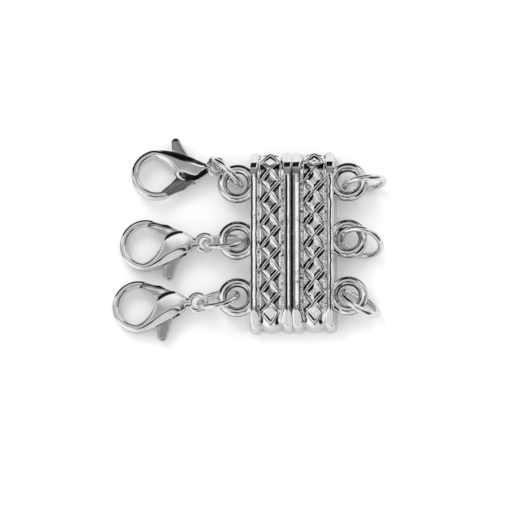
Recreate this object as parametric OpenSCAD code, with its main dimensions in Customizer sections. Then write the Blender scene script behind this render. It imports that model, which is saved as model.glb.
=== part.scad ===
// Three-strand magnetic necklace extender: a two-part magnetic bar with a cast lattice,
// three lobster clasps on its left side and three jump rings on its right side.
// It lies on its back: Z is up from the table, X runs along the strands, Y along the bar.
// The origin is on the table, under the middle of the seam between the two halves.

/* [Bar] */
// Length of the bar over its ridges
bar_l = 28.8; // [27:0.1:31]
// Width of the closed bar at its back
bar_w = 13.8; // [13.5:0.1:14.5]
// Thickness of the bar at its ridges
bar_h = 5; // [4.8:0.1:5.4]
// Height of the slope at both ends
slope_h = 2.1; // [2:0.1:2.3]
// Length of the slope at both ends
slope_l = 2.3; // [2.2:0.1:2.5]
// Flare of the side and end walls down to the back
skirt = 0.3; // [0.1:0.05:0.4]
// Gap at the seam between the two halves
seam_gap = 0.05; // [0.02:0.01:0.1]

/* [Ridges and lattice] */
// Width of the ridge beside the seam
inner_ridge_w = 1.3; // [1.1:0.05:1.4]
// Width of the ridge at the outer side
outer_ridge_w = 1.2; // [1:0.05:1.3]
// Width of the domed band that carries the lattice
band_w = 3.6; // [3.4:0.05:3.7]
// Radius of the dome across the band
band_r = 2.4; // [2.2:0.1:2.8]
// Depth of the grooves between the ridges and the band
groove_d = 0.85; // [0.6:0.05:1]
// Pitch of the lattice cells along the bar
cell_p = 3.65; // [3.6:0.01:3.7]
// Width of a lattice cell between the middles of its strands
cell_w = 2.95; // [2.8:0.05:3]
// Width of a lattice strand
strand_w = 0.45; // [0.35:0.05:0.5]
// Depth of the cells below the crest of the band
cell_d = 0.5; // [0.3:0.05:0.55]

/* [Cast loops] */
// Outer diameter of a loop
loop_od = 6.3; // [6:0.1:6.4]
// Thickness of a loop's wire
loop_wire = 1.5; // [1.4:0.05:1.6]
// Distance of a loop's centre from the seam
loop_x = 8.7; // [8.6:0.05:8.8]
// Distance between neighbouring loops
loop_pitch = 9.3; // [9.2:0.1:9.4]
// Height of a loop's centre above the back
loop_z = 2.6; // [2.55:0.05:2.7]

/* [Magnets] */
// Length of each magnet
magnet_l = 22; // [18:0.5:24]
// Height of each magnet
magnet_h = 2; // [1.5:0.1:2.2]
// Depth of each magnet from the seam
magnet_t = 1.5; // [1:0.1:2]
// Gap round a magnet in its pocket
magnet_gap = 0.05; // [0.02:0.01:0.1]

/* [Jump rings] */
// Outer diameter of a jump ring
ring_od = 7.15; // [7.1:0.05:7.2]
// Thickness of a jump ring's wire
ring_wire = 0.95; // [0.9:0.05:0.95]

/* [Lobster clasps] */
// Outer radius of the hook
hook_r = 4; // [3.95:0.01:4.02]
// Width of the hook at its tip
tip_w = 1.1; // [1:0.05:1.15]
// Radius of the hole inside the hook
hole_r = 2.9; // [2.85:0.01:2.92]
// Outer diameter of the eye
eye_od = 3.45; // [3.4:0.05:3.5]
// Thickness of the eye's wire
eye_wire = 0.85; // [0.8:0.05:0.85]
// Thickness of the lever
lever_t = 1.1; // [1:0.05:1.1]
// Gap above and below the lever in its slot
slot_gap = 0.1; // [0.08:0.01:0.12]
// Gap between the lever and the walls of its slot, and at the hook's tip
lever_gap = 0.08; // [0.06:0.01:0.1]
// Radius of the pivot pin
pin_r = 0.38; // [0.36:0.01:0.4]
// Angle through which the lever opens
open_deg = 25; // [15:1:25]

/* [Hidden] */
$fn = 48;

plating = "silver";
magnet_plating = "gray";

// Bar: a cap profile runs along the top and is cut off by a slope at both ends
seam_x = seam_gap / 2;
side_x = bar_w / 2 - skirt;
wall_h = bar_h - slope_h;
band_x = 3.45;
band_drop = 0.1;

// The slope's outline from above the ridges down to the end wall, as distance from the
// end and height: it starts gently at the knee's far side and ends at the toe
ease_l = 0.7;
ease_h = 0.2;
knee = [slope_l, bar_h - ease_h];
toe = [0.25, wall_h + 0.27];

// Rounded lobes at both ends, seen from above: middle, radius, distance from the end
inner_lobe = [0.75, 0.95, 0];
band_lobe = [band_x, 1.75, 0.05];
outer_lobe_r = 0.85;
outer_lobe = [side_x - outer_lobe_r, outer_lobe_r, 0];
lobe_notch = 0.85;

// Lattice: the strands of a cell leave its middle line at this slope
strand_slope = atan(cell_p / cell_w);
cell_reach = cell_w * cell_p / 4 / norm([cell_w / 2, cell_p / 2]);
cell_open = (cell_reach - strand_w / 2) / cell_reach;
cell_floor = 0.6;
side_apex = strand_w / 2 / sin(strand_slope);
side_base = 1.55;
cut_above = 0.6;

// Cast loops
loop_r = (loop_od - loop_wire) / 2;

// Jump rings: place of the centre on the table, turn about Z, and lean from lying flat.
// Each ring stands on the table on its rim.
ring_r = (ring_od - ring_wire) / 2;
RING_X = 0;
RING_Y = 1;
RING_TURN = 2;
RING_LEAN = 3;
//                     x       y      turn lean
ring_left_upper =   [-10.41,  10.86, -42.2, -90.1];
ring_left_middle =  [-10.67,  -0.32,  3.6, -59.6];
ring_left_lower =   [-11.65,  -9.66, 13.8, -57.4];
ring_right_upper =  [ 11.36,   8.73,   7,  90];
ring_right_middle = [ 10.87,  -0.8,  -15,  65];
ring_right_lower =  [ 10.57, -10.67, -37, -62];

// Lobster clasps: place of the eye, turn about Z, slope with which the eye is raised,
// and roll about the clasp's length. The upper one lies on its other side.
CLASP_X = 0;
CLASP_Y = 1;
CLASP_Z = 2;
CLASP_TURN = 3;
CLASP_SLOPE = 4;
CLASP_ROLL = 5;
//                x       y      z     turn  slope  roll
clasp_upper =  [-12.08,  12.39,  1.64, 11.3, -2.0, 175.5];
clasp_middle = [-13.85,  -0.35,  2.63, -3.7,  6.3,   4.5];
clasp_lower =  [-14.94, -10.04,  2.52, -1.8,  5.8,   4.5];

// A clasp in its own frame: the eye is at the origin, the hook points along -X and
// the gate is on the +Y side. Z = 0 is the middle of its thickness.
hook_x = -9.4;
hook_y = -0.5;
hook_w = 1.25;
tip_outer_deg = 75;
tip_inner_deg = 88.4;
hook_end_deg = 270;
back_wall_h = 0.88;
hook_steps = 18;
tip_h = 0.82;
hook_h = 1.1;

// Stations along the clasp's belly and neck, from the end of the hook to the eye:
// a point on the back edge, a point on the gate side's edge, half the thickness,
// the bevel along the back edge, the bevel along the other edge, and half the
// height of the upright wall on the other edge
//            back edge       gate side      half  back  front front
//            x      y        x      y       thick bevel bevel wall
belly = [
            [-8.3,  -4.45,   -8.55, -2.85,   1.2,  0.5,  0.55, 0.6],
            [-7.2,  -4.12,   -7.75, -2.15,   1.32, 0.75, 0.6,  0.8],
            [-6.2,  -3.72,   -7.1,  -1.32,   1.42, 0.95, 0.62, 1],
            [-5.35, -3.28,   -6.65, -0.35,   1.48, 1.1,  0.62, 1],
            [-4.7,  -2.9,    -6.4,   0.6,    1.5,  1.15, 0.5,  1],
            [-4.2,  -2.6,    -6.1,   1.05,   1.48, 1.15, 0.35, 1],
            [-3.7,  -2.28,   -5.4,   1.5,    1.42, 1.15, 0.45, 1],
            [-3.2,  -1.95,   -4.5,   1.78,   1.32, 1.1,  0.5,  1],
            [-2.75, -1.65,   -3.6,   1.8,    1.18, 1.05, 0.4,  0.9],
            [-2.3,  -1.35,   -2.7,   1.4,    1,    0.95, 0.45, 0.6],
            [-1.85, -1.05,   -1.95,  1,      0.8,  0.75, 0.45, 0.4],
            [-1.35, -0.78,   -1.4,   0.74,   0.5,  0.5,  0.4,  0.3],
            [-1,    -0.55,   -1,     0.52,   0.3,  0.35, 0.3,  0.15],
];

// Lever: round joints of its limbs, x, y and radius, in the clasp's frame
pivot = [-4.2, 0.2];
boss_r = 1.05;
shoulder = [-4.4, 1.05, 0.8];
gate_root = [-6.3, 1.75, 0.95];
gate_tip = [-8.9, 2.8, 0.6];
trigger_root = [-5.1, -2.6, 1];
trigger_middle = [-5.42, -4.1, 0.84];
trigger_tip = [-5.5, -5.3, 0.72];
pin_play = 0.04;
pin_seat = 0.015;
pin_half = 1.12;
pin_end_gap = 0.04;
sweep_steps = 5;

function hook_point(r, a) = [hook_x + r * cos(a), hook_y + r * sin(a)];

// One station of the clasp body: outer point, inner point, half thickness, outer bevel,
// inner bevel and half the height of the inner wall
function hook_station(t) =
    let (w = tip_w + (hook_w - tip_w) * t,
         a_out = tip_outer_deg + (hook_end_deg - tip_outer_deg) * t,
         a_in = tip_inner_deg + (hook_end_deg - tip_inner_deg) * t,
         o = hook_point(hole_r + w, a_out),
         i = hook_point(hole_r, a_in))
    [o.x, o.y, i.x, i.y, tip_h + (hook_h - tip_h) * t, 0.38, 0.3, 0.5];

function station_ring(s) =
    let (o = [s[0], s[1]],
         i = [s[2], s[3]],
         across = (i - o) / norm(i - o),
         h = s[4],
         back = o + across * s[5],
         front = i - across * s[6],
         back_wall = min(back_wall_h, 0.6 * h),
         front_wall = min(s[7], 0.75 * h))
    [[o.x, o.y, -back_wall], [o.x, o.y, back_wall],
     [back.x, back.y, h], [front.x, front.y, 0.94 * h],
     [i.x, i.y, front_wall], [i.x, i.y, -front_wall],
     [front.x, front.y, -0.94 * h], [back.x, back.y, -h]];

// A closed skin over a row of rings that have the same number of points
module skin(rings) {
    m = len(rings[0]);
    n = len(rings);
    polyhedron(
        points = [for (ring = rings) each ring],
        faces = concat(
            [[for (j = [m - 1:-1:0]) j]],
            [for (k = [0:n - 2], j = [0:m - 1], half = [0, 1])
                let (a = k * m + j, b = k * m + (j + 1) % m)
                half == 0 ? [a, b, b + m] : [a, b + m, a + m]],
            [[for (j = [0:m - 1]) (n - 1) * m + j]]),
        convexity = 6);
}

// A frustum between an outline and the same outline drawn in towards a point
module pit(outline, towards, draw_in, up, down) {
    low = [for (p = outline) towards + (p - towards) * draw_in];
    skin([[for (p = outline) [p.x, p.y, up]], [for (p = outline) [p.x, p.y, 0]],
          [for (p = low) [p.x, p.y, -down]]]);
}

// Section of one half, from the seam outwards, up to the ridges
module cap_profile() {
    ri = inner_ridge_w / 2;
    ro = outer_ridge_w / 2;
    translate([seam_x + ri, slope_h - ri]) circle(ri);
    translate([seam_x, 0]) square([inner_ridge_w, slope_h - ri]);
    intersection() {
        translate([band_x, slope_h - band_drop - band_r]) circle(band_r);
        translate([band_x - band_w / 2, 0]) square([band_w, slope_h]);
    }
    translate([side_x - ro, slope_h - ro]) circle(ro);
    translate([side_x - outer_ridge_w, 0]) square([outer_ridge_w, slope_h - ro]);
    translate([seam_x, 0]) square([side_x - ro - seam_x, slope_h - groove_d]);
}

// Outline of the bar seen from the side, with the slopes at both ends
module slope_profile() {
    above = 0.5;
    start = knee.x + ease_l * (ease_h + above) / ease_h;
    half = [[start, bar_h + above], knee, toe, [0, wall_h]];
    polygon([for (side = [1, -1], k = [0:3])
        let (q = half[side > 0 ? k : 3 - k])
        [side * (bar_l / 2 - q.x), q.y]]);
}

// Outline of one half seen from above, with the lobes at both ends
module plan_outline() {
    intersection() {
        union() {
            translate([seam_x, lobe_notch - bar_l / 2])
                square([side_x - seam_x, bar_l - 2 * lobe_notch]);
            for (side = [1, -1], q = [inner_lobe, band_lobe, outer_lobe])
                translate([q.x, side * (bar_l / 2 - q[2] - q[1])]) circle(q[1]);
        }
        translate([seam_x, -bar_l]) square([side_x - seam_x, 2 * bar_l]);
    }
}

module lobe(q) {
    translate([q.x, bar_l / 2 - q[2] - q[1], 0])
        cylinder(h = wall_h, r1 = q[1] + skirt, r2 = q[1]);
}

// The body of one half without its lattice, on the +X side
module half_blank() {
    intersection() {
        translate([0, 0, wall_h]) rotate([90, 0, 0])
            linear_extrude(bar_l + 1, center = true) cap_profile();
        rotate([90, 0, 90]) linear_extrude(bar_w) slope_profile();
        linear_extrude(bar_h + 1) plan_outline();
    }
    linear_extrude(wall_h) plan_outline();
    for (side = [0, 1]) mirror([0, side, 0]) intersection() {
        union() {
            lobe(inner_lobe);
            lobe(band_lobe);
            lobe(outer_lobe);
        }
        translate([seam_x, bar_l / 2 - 3, 0]) cube([bar_w, 4, wall_h]);
    }
    flare_l = bar_l - 2 * outer_lobe_r;
    rotate([90, 0, 0]) linear_extrude(flare_l, center = true)
        polygon([[side_x - 1, 0], [side_x + skirt, 0], [side_x, wall_h], [side_x - 1, wall_h]]);
}

module diamond_cut() {
    rx = cell_w / 2 * cell_open;
    ry = cell_p / 2 * cell_open;
    pit([[rx, 0], [0, ry], [-rx, 0], [0, -ry]], [0, 0], cell_floor, cut_above, cell_d);
}

// The flat three-cornered recess beside a crossing of two strands
module side_cut(side) {
    rise = (side_base - side_apex) * tan(strand_slope);
    lean = asin((side_apex + side_base) / 2 / band_r);
    outline = side > 0 ? [[side_apex, 0], [side_base, -rise], [side_base, rise]]
                       : [[-side_apex, 0], [-side_base, rise], [-side_base, -rise]];
    middle = side * (side_apex + 2 * side_base) / 3;
    translate([0, 0, -band_r]) rotate([0, side * lean, 0]) translate([0, 0, band_r])
        translate([-side * band_r * sin(lean), 0, 0])
            pit(outline, [middle, 0], 0.8, cut_above, 0.3);
}

// All cells of one half. The last cell at each end lies on the turn of the end.
module lattice_cuts() {
    crest = bar_h - band_drop;
    for (k = [-2.5:1:2.5])
        translate([band_x, k * cell_p, crest]) diamond_cut();
    for (k = [-3:3], side = [-1, 1])
        translate([band_x, k * cell_p, crest]) side_cut(side);
    for (s = [0, 1]) mirror([0, s, 0]) end_cell();
}

module end_cell() {
    near = 3 * cell_p;
    knee_y = bar_l / 2 - knee.x;
    slope = atan((knee.y - toe.y) / (knee.x - toe.x));
    left = cell_p - (knee_y - ease_l - near) - norm([ease_l, ease_h]);
    far = [knee_y + left * cos(slope), knee.y - left * sin(slope) - band_drop];
    drop = atan((bar_h - band_drop - far.y) / (far.x - near));
    translate([band_x, (near + far.x) / 2, (bar_h - band_drop + far.y) / 2])
        rotate([-drop, 0, 0]) diamond_cut();
}

// One half of the bar with its loops, on the +X side
module bar_half() {
    difference() {
        union() {
            half_blank();
            for (k = [-1:1]) translate([loop_x, k * loop_pitch, loop_z])
                rotate_extrude() translate([loop_r, 0]) circle(loop_wire / 2, $fn = 24);
        }
        lattice_cuts();
        translate([0, -magnet_l / 2 - magnet_gap, bar_h / 2 - magnet_h / 2 - magnet_gap])
            cube([seam_x + magnet_t + 2 * magnet_gap, magnet_l + 2 * magnet_gap,
                  magnet_h + 2 * magnet_gap]);
    }
}

module magnet() {
    translate([seam_x + magnet_gap, -magnet_l / 2, bar_h / 2 - magnet_h / 2])
        cube([magnet_t, magnet_l, magnet_h]);
}

module jump_ring(place) {
    lean = place[RING_LEAN];
    z = ring_wire / 2 + ring_r * abs(sin(lean));
    translate([place[RING_X], place[RING_Y], z]) rotate([lean, 0, place[RING_TURN]])
        rotate_extrude() translate([ring_r, 0]) circle(ring_wire / 2, $fn = 24);
}

// Puts a clasp's own frame where that clasp lies
module lay_clasp(place) {
    translate([place[CLASP_X], place[CLASP_Y], place[CLASP_Z]])
        rotate([place[CLASP_ROLL], -place[CLASP_SLOPE], place[CLASP_TURN]]) children();
}

// A limb with round ends and straight tapered sides, grown by a gap
module limb(a, b, grow) {
    ra = a[2] + grow;
    rb = b[2] + grow;
    run = [b.x - a.x, b.y - a.y];
    dist = norm(run);
    dir = atan2(run.y, run.x);
    lean = acos((ra - rb) / dist);
    translate([a.x, a.y]) circle(ra, $fn = 36);
    translate([b.x, b.y]) circle(rb, $fn = 36);
    polygon([for (e = [[a, ra, 1], [a, ra, -1], [b, rb, -1], [b, rb, 1]])
        [e[0].x + e[1] * cos(dir + e[2] * lean), e[0].y + e[1] * sin(dir + e[2] * lean)]]);
}

module lever_outline(grow = 0) {
    boss = [pivot.x, pivot.y, boss_r];
    limb(boss, shoulder, grow);
    limb(shoulder, gate_root, grow);
    limb(boss, gate_root, grow);
    limb(gate_root, gate_tip, grow);
    limb(boss, trigger_root, grow);
    limb(trigger_root, trigger_middle, grow);
    limb(trigger_middle, trigger_tip, grow);
}

// Everything on the hook's side of the slanted joint between the tip and the gate
module beyond_joint() {
    o = hook_point(hole_r + tip_w, tip_outer_deg);
    i = hook_point(hole_r, tip_inner_deg);
    joint = (o + i) / 2;
    along = atan2(o.y - i.y, o.x - i.x);
    translate([joint.x, joint.y]) rotate(along) translate([-3, -lever_gap]) square([6, 3]);
}

module lever_slot() {
    linear_extrude(lever_t + 2 * slot_gap, center = true)
        for (k = [0:sweep_steps])
            translate(pivot) rotate(open_deg * k / sweep_steps) translate(-pivot)
                difference() {
                    lever_outline(lever_gap);
                    beyond_joint();
                }
}

module clasp_body() {
    hook = [for (k = [0:hook_steps]) hook_station(k / hook_steps)];
    difference() {
        union() {
            skin([for (s = concat(hook, belly)) station_ring(s)]);
            rotate_extrude() translate([(eye_od - eye_wire) / 2, 0])
                circle(eye_wire / 2, $fn = 24);
        }
        lever_slot();
        translate([pivot.x, pivot.y, 0])
            cylinder(h = 2 * (pin_half + pin_end_gap), r = pin_r + pin_seat, center = true);
    }
}

module clasp_lever() {
    linear_extrude(lever_t, center = true) difference() {
        lever_outline();
        beyond_joint();
        translate(pivot) circle(pin_r + pin_play);
    }
}

module clasp_pin() {
    translate([pivot.x, pivot.y, 0]) cylinder(h = 2 * pin_half, r = pin_r, center = true);
}

module bar_left() { color(plating) mirror([1, 0, 0]) bar_half(); }
module bar_right() { color(plating) bar_half(); }
module magnet_left() { color(magnet_plating) mirror([1, 0, 0]) magnet(); }
module magnet_right() { color(magnet_plating) magnet(); }
module jump_ring_left_upper() { color(plating) jump_ring(ring_left_upper); }
module jump_ring_left_middle() { color(plating) jump_ring(ring_left_middle); }
module jump_ring_left_lower() { color(plating) jump_ring(ring_left_lower); }
module jump_ring_right_upper() { color(plating) jump_ring(ring_right_upper); }
module jump_ring_right_middle() { color(plating) jump_ring(ring_right_middle); }
module jump_ring_right_lower() { color(plating) jump_ring(ring_right_lower); }
module clasp_body_upper() { color(plating) lay_clasp(clasp_upper) clasp_body(); }
module clasp_body_middle() { color(plating) lay_clasp(clasp_middle) clasp_body(); }
module clasp_body_lower() { color(plating) lay_clasp(clasp_lower) clasp_body(); }
module clasp_lever_upper() { color(plating) lay_clasp(clasp_upper) clasp_lever(); }
module clasp_lever_middle() { color(plating) lay_clasp(clasp_middle) clasp_lever(); }
module clasp_lever_lower() { color(plating) lay_clasp(clasp_lower) clasp_lever(); }
module clasp_pin_upper() { color(magnet_plating) lay_clasp(clasp_upper) clasp_pin(); }
module clasp_pin_middle() { color(magnet_plating) lay_clasp(clasp_middle) clasp_pin(); }
module clasp_pin_lower() { color(magnet_plating) lay_clasp(clasp_lower) clasp_pin(); }

bar_left();
bar_right();
magnet_left();
magnet_right();
jump_ring_left_upper();
jump_ring_left_middle();
jump_ring_left_lower();
jump_ring_right_upper();
jump_ring_right_middle();
jump_ring_right_lower();
clasp_body_upper();
clasp_body_middle();
clasp_body_lower();
clasp_lever_upper();
clasp_lever_middle();
clasp_lever_lower();
clasp_pin_upper();
clasp_pin_middle();
clasp_pin_lower();
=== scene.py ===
from math import asin, atan2, cos, degrees, exp, hypot, inf, log, pi, radians, sin, sqrt, tan

import bmesh
import bpy
from mathutils import Euler, Matrix, Vector, noise


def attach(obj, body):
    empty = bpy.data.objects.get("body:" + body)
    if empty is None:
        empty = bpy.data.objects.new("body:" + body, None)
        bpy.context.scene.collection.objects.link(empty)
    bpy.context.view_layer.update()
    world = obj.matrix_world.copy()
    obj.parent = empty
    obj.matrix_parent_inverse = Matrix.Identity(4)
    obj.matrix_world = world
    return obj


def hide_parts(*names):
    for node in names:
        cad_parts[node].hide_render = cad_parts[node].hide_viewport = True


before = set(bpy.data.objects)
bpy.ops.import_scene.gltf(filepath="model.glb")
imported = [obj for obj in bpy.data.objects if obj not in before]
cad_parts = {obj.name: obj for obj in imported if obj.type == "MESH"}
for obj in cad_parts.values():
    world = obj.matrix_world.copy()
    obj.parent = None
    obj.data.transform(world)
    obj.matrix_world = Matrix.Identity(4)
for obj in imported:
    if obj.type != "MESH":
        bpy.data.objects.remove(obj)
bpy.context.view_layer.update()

mm = 0.001
scene = bpy.context.scene
scene.view_settings.view_transform = "Standard"


def clamp(value, low=0.0, high=1.0):
    return max(low, min(high, value))


def mix(a, b, t):
    return a + (b - a) * t


def smooth(edge0, edge1, value):
    t = clamp((value - edge0) / (edge1 - edge0))
    return t * t * (3 - 2 * t)


def ripple(x, y, z, size, seed):
    return noise.noise(Vector((x / size + seed * 7.3, y / size, z / size - seed * 3.1)))


def meshObject(name, points, faces):
    mesh = bpy.data.meshes.new(name)
    mesh.from_pydata([(x * mm, y * mm, z * mm) for x, y, z in points], [], faces)
    obj = bpy.data.objects.new(name, mesh)
    scene.collection.objects.link(obj)
    return obj


# How dark each point is painted, as painted shade and painted dark reflections that the plating reads
def paintShade(obj, tones):
    layer = obj.data.attributes.new("recess", "FLOAT", "POINT")
    layer.data.foreach_set("value", tones)


def finishMesh(obj, material, sharp):
    bm = bmesh.new()
    bm.from_mesh(obj.data)
    bmesh.ops.remove_doubles(bm, verts=bm.verts, dist=0.0005 * mm)
    bmesh.ops.recalc_face_normals(bm, faces=bm.faces)
    bmesh.ops.triangulate(bm, faces=[f for f in bm.faces if len(f.verts) > 4])
    bm.to_mesh(obj.data)
    bm.free()
    obj.data.materials.clear()
    obj.data.materials.append(material)
    obj.data.shade_smooth()
    obj.data.set_sharp_from_angle(angle=radians(sharp))
    obj.data.update()


def applied(obj):
    graph = bpy.context.evaluated_depsgraph_get()
    graph.update()
    made = bpy.data.meshes.new_from_object(obj.evaluated_get(graph))
    obj.modifiers.clear()
    obj.data = made
    return obj


# Short calls for building shader and geometry trees
class Nodes:
    def __init__(self, tree):
        self.tree = tree

    def add(self, kind, **values):
        node = self.tree.nodes.new(kind)
        for key, value in values.items():
            setattr(node, key, value)
        return node

    def join(self, a, b):
        self.tree.links.new(a, b)

    def feed(self, socket, value):
        if isinstance(value, bpy.types.NodeSocket):
            self.join(value, socket)
        else:
            socket.default_value = value

    # Adds a node, fills its inputs and gives its first output
    def make(self, kind, inputs, **values):
        node = self.add(kind, **values)
        for label, value in inputs.items():
            self.feed(node.inputs[label], value)
        return node.outputs[0]

    def math(self, operation, *values):
        return self.make("ShaderNodeMath", dict(enumerate(values)), operation=operation)

    def noise(self, vector, scale, detail=2, rough=0.5):
        return self.make("ShaderNodeTexNoise", {
            "Vector": vector, "Scale": scale, "Detail": detail, "Roughness": rough})

    # Values: the input, from low and high, to low and high
    def mapRange(self, *values):
        return self.make("ShaderNodeMapRange", dict(enumerate(values)))

    def mixColor(self, factor, a, b):
        node = self.add("ShaderNodeMix", data_type="RGBA")
        for k, value in ((0, factor), (6, a), (7, b)):
            self.feed(node.inputs[k], (*value, 1) if isinstance(value, tuple) else value)
        return node.outputs[2]


socketKinds = {type(None): "Vector", tuple: "Color", int: "Int", float: "Float",
               bpy.types.Material: "Material"}


# Named inputs, each of the kind that its value has
def addInputs(group, values):
    sockets = {}
    for label, value in values.items():
        kind = "NodeSocket" + socketKinds[type(value)]
        socket = group.interface.new_socket(label, in_out="INPUT", socket_type=kind)
        if value is not None:
            socket.default_value = value
        sockets[label] = socket.identifier
    return sockets


def shaderGroup(name, values, outputs):
    group = bpy.data.node_groups.new(name, "ShaderNodeTree")
    addInputs(group, values)
    for label, kind in outputs.items():
        group.interface.new_socket(label, in_out="OUTPUT", socket_type="NodeSocket" + kind)
    n = Nodes(group)
    return group, n, n.add("NodeGroupInput").outputs, n.add("NodeGroupOutput").inputs


# Bright metal with faint clouds and grain, darkened by the painted shade and painted dark reflections that
# the point attribute holds
def platingGroup():
    group, n, i, o = shaderGroup(
        "platedSurface",
        {"Position": None, "Bright": (0.9, 0.9, 0.905, 1), "Dull": (0.62, 0.62, 0.61, 1),
         "Cloud Scale": 400.0, "Grain Scale": 9000.0, "Low Roughness": 0.05, "High Roughness": 0.14,
         "Painted Shade Strength": 0.6},
        {"Color": "Color", "Roughness": "Float", "Height": "Float"})
    cloud = n.noise(i["Position"], i["Cloud Scale"], 3)
    grain = n.noise(i["Position"], i["Grain Scale"], 2, 0.6)
    recess = n.add("ShaderNodeAttribute", attribute_name="recess").outputs["Fac"]
    shadeAmount = n.math("MULTIPLY", recess, i["Painted Shade Strength"])
    grainyShade = n.math("MULTIPLY", shadeAmount, n.mapRange(grain, 0.35, 0.65, 0.7, 1.05))
    cloudDirt = n.mapRange(cloud, 0.45, 0.8, 0.0, 0.12)
    total = n.math("MINIMUM", n.math("ADD", grainyShade, cloudDirt), 1.0)
    n.join(n.mixColor(total, i["Bright"], i["Dull"]), o["Color"])
    rough = n.mapRange(cloud, 0.3, 0.75, i["Low Roughness"], i["High Roughness"])
    n.join(n.math("ADD", rough, n.math("MULTIPLY", grainyShade, 0.18)), o["Roughness"])
    fine = n.math("MULTIPLY", grain, n.math("ADD", 0.15, recess))
    n.join(n.math("ADD", n.math("MULTIPLY", cloud, 0.6), fine), o["Height"])
    return group


# Two families of thin crossing lines
def scratchGroup():
    group, n, i, o = shaderGroup(
        "fineScratches", {"Position": None, "Scratch Scale": 3000.0, "Scratches": 0.5}, {"Mask": "Float"})
    lines = []
    for turn, stretch in ((0.4, 14.0), (2.1, 18.0)):
        turned = n.make("ShaderNodeMapping", {
            "Vector": i["Position"], "Rotation": (0.2, 0.1, turn), "Scale": (1, stretch, 1)})
        lines.append(n.mapRange(n.noise(turned, i["Scratch Scale"], 1), 0.66, 0.74, 0.0, 1.0))
    both = n.math("MAXIMUM", lines[0], lines[1])
    n.join(n.math("MULTIPLY", both, i["Scratches"]), o["Mask"])
    return group


plating = platingGroup()
scratches = scratchGroup()


def platedMaterial(name, looks):
    material = bpy.data.materials.new(name)
    material.use_nodes = True
    n = Nodes(material.node_tree)
    shader = material.node_tree.nodes["Principled BSDF"]
    shader.inputs["Metallic"].default_value = 1.0
    position = n.add("ShaderNodeTexCoord").outputs["Object"]
    parts = []
    for group in (plating, scratches):
        node = n.add("ShaderNodeGroup", node_tree=group)
        n.join(position, node.inputs["Position"])
        for label, value in looks.items():
            if label in node.inputs:
                node.inputs[label].default_value = value
        parts.append(node)
    skin, wear = parts
    scratch = wear.outputs["Mask"]
    n.join(skin.outputs["Color"], shader.inputs["Base Color"])
    rough = n.math("ADD", skin.outputs["Roughness"], n.math("MULTIPLY", scratch, 0.12))
    n.join(rough, shader.inputs["Roughness"])
    height = n.math("SUBTRACT", skin.outputs["Height"], n.math("MULTIPLY", scratch, 0.4))
    bump = n.make("ShaderNodeBump", {
        "Strength": looks["bump"], "Distance": looks["bumpDepth"] * mm, "Height": height})
    n.join(bump, shader.inputs["Normal"])
    return material


finishColumns = ("Bright", "Dull", "Cloud Scale", "Grain Scale", "Low Roughness", "High Roughness",
                 "Painted Shade Strength", "Scratch Scale", "Scratches", "bump", "bumpDepth")
finishes = {
    "barPlating": ((0.95, 0.95, 0.955, 1), (0.008, 0.008, 0.008, 1), 420, 8000, 0.02, 0.06,
                   1.0, 2600, 0.5, 0.35, 0.02),
    "loopPlating": ((0.89, 0.89, 0.895, 1), (0.03, 0.03, 0.03, 1), 520, 8000, 0.04, 0.09,
                    1.0, 2600, 0.5, 0.35, 0.02),
    "ringPlating": ((0.88, 0.88, 0.885, 1), (0.6, 0.6, 0.6, 1), 600, 9000, 0.05, 0.11,
                    0.5, 3200, 0.5, 0.3, 0.015),
    "claspPlating": ((0.9, 0.9, 0.905, 1), (0.01, 0.01, 0.01, 1), 350, 9000, 0.04, 0.09,
                     1.2, 3000, 0.4, 0.3, 0.012),
    "leverPlating": ((0.74, 0.74, 0.745, 1), (0.14, 0.14, 0.14, 1), 500, 9000, 0.06, 0.13,
                     1.0, 3200, 0.6, 0.3, 0.012),
    "magnetNickel": ((0.74, 0.73, 0.7, 1), (0.45, 0.44, 0.42, 1), 900, 7000, 0.16, 0.3,
                     0.5, 2200, 1.0, 0.4, 0.02),
    "pinSteel": ((0.62, 0.62, 0.61, 1), (0.4, 0.4, 0.4, 1), 900, 9000, 0.15, 0.3,
                 0.5, 3000, 1.0, 0.3, 0.01),
}
materials = {name: platedMaterial(name, dict(zip(finishColumns, row))) for name, row in finishes.items()}
print("materials made")


# A smooth curve through rows of numbers
def spline(rows, steps):
    made = []
    for k in range(len(rows) - 1):
        p0, p1, p2, p3 = rows[max(k - 1, 0)], rows[k], rows[k + 1], rows[min(k + 2, len(rows) - 1)]
        for j in range(steps):
            t = j / steps
            made.append(tuple(
                0.5 * (2 * b + (c - a) * t + (2 * a - 5 * b + 4 * c - d) * t * t
                       + (3 * b - a - 3 * c + d) * t ** 3)
                for a, b, c, d in zip(p0, p1, p2, p3)))
    made.append(rows[-1])
    return made


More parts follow.
